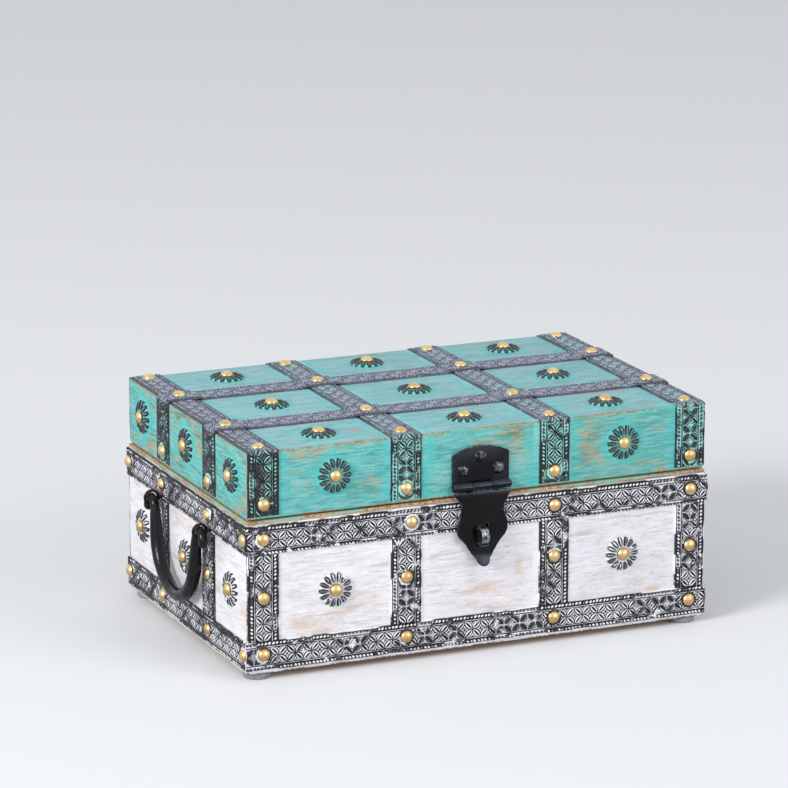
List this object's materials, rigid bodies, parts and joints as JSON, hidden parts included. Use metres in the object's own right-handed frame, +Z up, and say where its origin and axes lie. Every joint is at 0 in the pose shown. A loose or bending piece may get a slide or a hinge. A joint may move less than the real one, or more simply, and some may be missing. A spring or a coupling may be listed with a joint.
{
  "type": "wooden jewelry box",
  "caption": "Hinged wooden chest with embossed metal strips, brass nails, rosettes, a drop hasp over a staple and a swinging bail handle on each side.",
  "frame": {"origin": "on the surface that the box stands on, under the middle of the whole part's bounding box", "axes": "+X to the right along the front, -Y out of the front where the hasp is, +Z up"},
  "size_m": [0.2736, 0.1776, 0.121],
  "materials": {
    "white_wood": "whitewashed, rubbed through",
    "bare_wood": "bare, sanded",
    "turquoise_wood": "worn turquoise paint",
    "base_strip": "black embossed tin rubbed with white",
    "lid_strip": "black embossed tin rubbed with turquoise",
    "base_rosette": "black embossed, rubbed with white",
    "lid_rosette": "black embossed, rubbed with turquoise",
    "nail": "aged brass",
    "hasp": "black lacquer",
    "screw": "black, worn edges",
    "pin": "blackened, worn",
    "staple": "worn bright",
    "handle": "black, glossy",
    "eye": "blackened, rusty",
    "hinge": "dull",
    "hinge_screw": "dull",
    "bumper": "translucent grey"
  },
  "bodies": {
    "base": {"base_floor": "bare_wood", "base_front_wall": "white_wood", "base_back_wall": "white_wood", "base_left_wall": "white_wood", "base_right_wall": "white_wood", "base_feet": "bumper", "top_band_front": "base_strip", "top_band_back": "base_strip", "top_band_left": "base_strip", "top_band_right": "base_strip", "bottom_band_front": "base_strip", "bottom_band_back": "base_strip", "bottom_band_left": "base_strip", "bottom_band_right": "base_strip", "base_straps_front": "base_strip", "base_straps_back": "base_strip", "base_straps_left": "base_strip", "base_straps_right": "base_strip", "base_rosettes": "base_rosette", "base_nails": "nail", "staple": "staple", "handle_eyes_left": "eye", "handle_eyes_right": "eye", "hinge_leaves_base": "hinge", "hinge_screws_base": "hinge_screw", "hinge_pins": "pin"},
    "lid": {"lid_top": "turquoise_wood", "lid_front_wall": "turquoise_wood", "lid_back_wall": "turquoise_wood", "lid_left_wall": "turquoise_wood", "lid_right_wall": "turquoise_wood", "lid_strap_1": "lid_strip", "lid_strap_2": "lid_strip", "lid_strap_3": "lid_strip", "lid_strap_4": "lid_strip", "lid_cross_strap_front": "lid_strip", "lid_cross_strap_back": "lid_strip", "lid_rosettes": "lid_rosette", "lid_nails": "nail", "hinge_leaves_lid": "hinge", "hinge_screws_lid": "hinge_screw", "hasp_plate": "hasp", "hasp_screws": "screw", "hasp_pin": "pin"},
    "hasp": {"hasp_strap": "hasp"},
    "left_bail": {"left_handle": "handle"},
    "right_bail": {"right_handle": "handle"}
  },
  "joints": [
    {"name": "lid_hinge", "type": "hinge", "parent": "base", "child": "lid", "pos_m": [0, 0.08675, 0.0822], "axis": [-1, 0, 0], "range_deg": [0, 105]},
    {"name": "hasp_hinge", "type": "hinge", "parent": "lid", "child": "hasp", "pos_m": [-0.0004, -0.08155, 0.0872], "axis": [-1, 0, 0], "range_deg": [0, 155]},
    {"name": "left_handle_hinge", "type": "hinge", "parent": "base", "child": "left_bail", "pos_m": [-0.1325, 0.00035, 0.0661], "axis": [0, 1, 0], "range_deg": [0, 170]},
    {"name": "right_handle_hinge", "type": "hinge", "parent": "base", "child": "right_bail", "pos_m": [0.1325, 0.00035, 0.0661], "axis": [0, -1, 0], "range_deg": [0, 170]}
  ]
}
